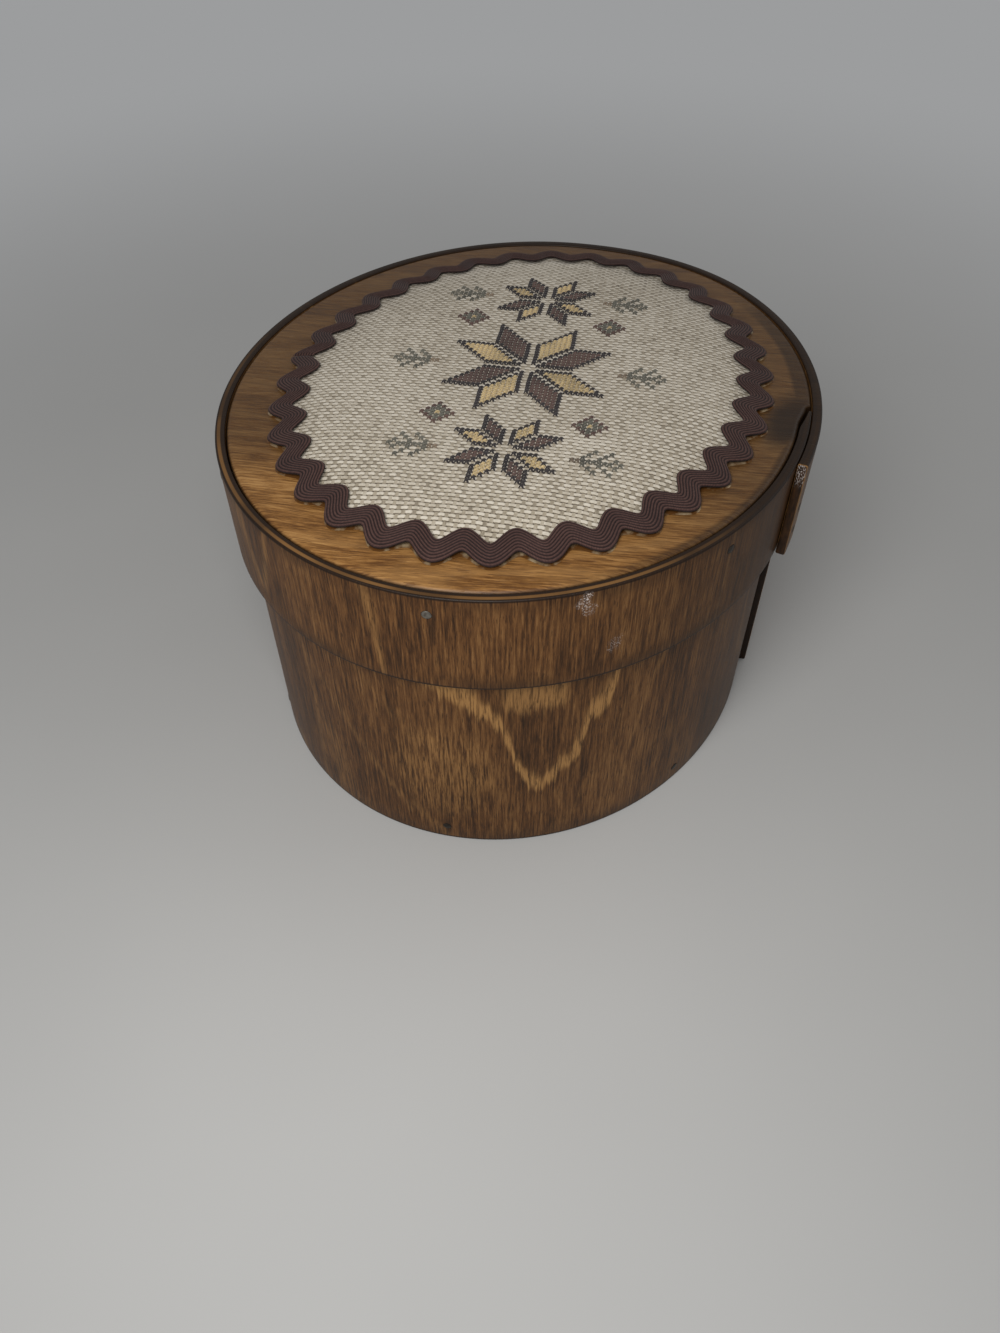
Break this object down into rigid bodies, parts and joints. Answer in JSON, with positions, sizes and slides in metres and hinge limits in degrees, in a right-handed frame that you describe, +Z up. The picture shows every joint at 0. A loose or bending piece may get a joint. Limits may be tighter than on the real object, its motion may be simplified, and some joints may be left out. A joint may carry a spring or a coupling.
{
  "type": "oval bentwood storage box",
  "caption": "Oval bentwood storage box with a lift-off lid; the lid has a padded needlework panel edged with rick-rack braid.",
  "frame": {"origin": "middle of the base's oval at the underside, on the surface the box stands on", "axes": "+Z up, the way the lid lifts; X along the oval's long axis; +Y towards the side with the laps of the bent strips"},
  "size_m": [0.1965, 0.177, 0.114],
  "materials": {
    "band_wood": "brown stained, thin varnish, grain upright",
    "board_wood": "golden brown stain, thin varnish",
    "nail_steel": "dull bright steel heads",
    "cloth": "cream evenweave cloth with stitched motifs",
    "padding": "white wadding",
    "braid": "dark purple-brown woven braid, fine ridges"
  },
  "bodies": {
    "base": {"base_band": "band_wood", "base_board": "board_wood", "base_brad_1": "nail_steel", "base_brad_2": "nail_steel", "base_brad_3": "nail_steel", "base_brad_4": "nail_steel", "base_brad_5": "nail_steel", "base_brad_6": "nail_steel", "base_brad_7": "nail_steel", "base_lap_tack_1": "nail_steel", "base_lap_tack_2": "nail_steel", "base_lap_tack_3": "nail_steel"},
    "lid": {"lid_band": "band_wood", "lid_board": "board_wood", "lid_brad_1": "nail_steel", "lid_brad_2": "nail_steel", "lid_brad_3": "nail_steel", "lid_brad_4": "nail_steel", "lid_brad_5": "nail_steel", "lid_brad_6": "nail_steel", "lid_brad_7": "nail_steel", "lid_lap_tack_1": "nail_steel", "lid_lap_tack_2": "nail_steel", "panel_padding": "padding", "needlework_cloth": "cloth", "rick_rack_braid": "braid"}
  },
  "joints": [
    {"name": "lid_lift", "type": "slide", "parent": "base", "child": "lid", "axis": [0, 0, 1], "range_m": [0, 0.08]}
  ]
}
